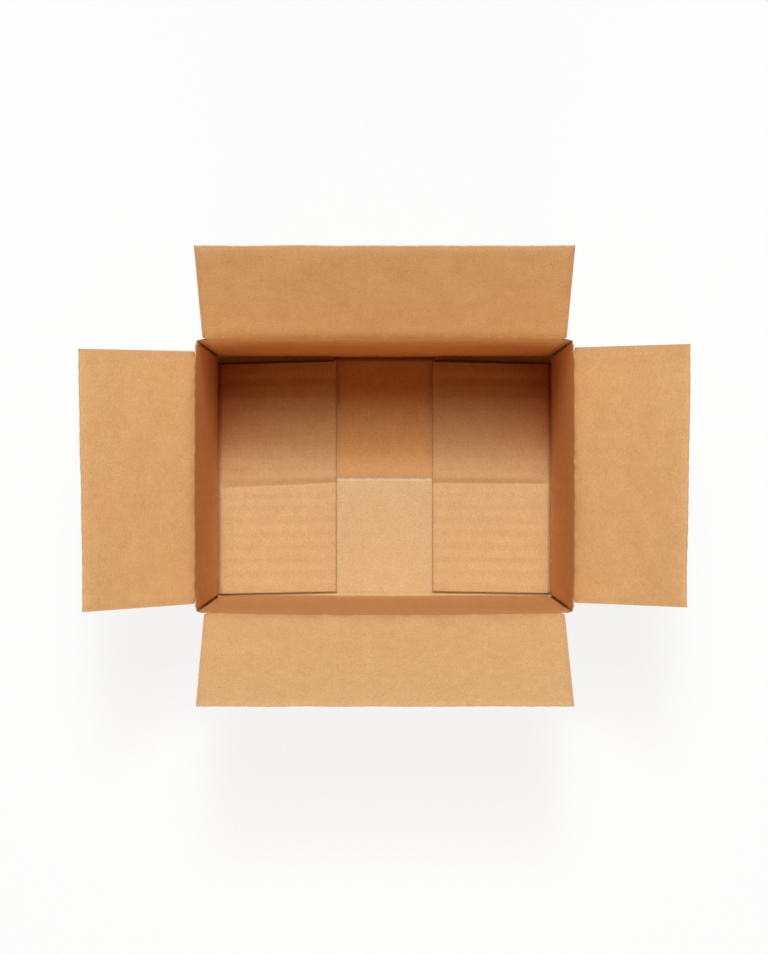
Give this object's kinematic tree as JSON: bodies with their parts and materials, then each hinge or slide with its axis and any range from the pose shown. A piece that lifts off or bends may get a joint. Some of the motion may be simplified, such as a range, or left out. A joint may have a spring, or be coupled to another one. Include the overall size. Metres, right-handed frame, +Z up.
{
  "type": "slotted shipping carton",
  "caption": "Open rectangular shipping carton of kraft corrugated board, with a taped bottom and folding top flaps that close in overlapping pairs.",
  "frame": {"origin": "middle of the underside, on the lower face of the sealing tape", "axes": "+Z up out of the open mouth, +X along the carton's length, +Y towards the rear wall"},
  "size_m": [0.3106, 0.2354, 0.2503],
  "materials": {
    "kraft_board": "matt brown kraft paper with faint pressed flute lines",
    "sealing_tape": "thin clear packing tape, pale where the seam shows"
  },
  "bodies": {
    "carton": {"carton": "kraft_board", "bottom_tape": "sealing_tape"},
    "front_flap": {"front_flap": "kraft_board"},
    "rear_flap": {"rear_flap": "kraft_board"},
    "left_flap": {"left_flap": "kraft_board"},
    "right_flap": {"right_flap": "kraft_board"}
  },
  "joints": [
    {"name": "front_flap_fold", "type": "hinge", "parent": "carton", "child": "front_flap", "pos_m": [0, -0.0754, 0.1864], "axis": [1, 0, 0], "range_deg": [-124, 126]},
    {"name": "rear_flap_fold", "type": "hinge", "parent": "carton", "child": "rear_flap", "pos_m": [0, 0.0754, 0.1864], "axis": [-1, 0, 0], "range_deg": [-124, 126]},
    {"name": "left_flap_fold", "type": "hinge", "parent": "carton", "child": "left_flap", "pos_m": [-0.1034, 0, 0.1821], "axis": [0, -1, 0], "range_deg": [-133.5, 116.5]},
    {"name": "right_flap_fold", "type": "hinge", "parent": "carton", "child": "right_flap", "pos_m": [0.1034, 0, 0.1821], "axis": [0, 1, 0], "range_deg": [-133.5, 116.5]}
  ]
}
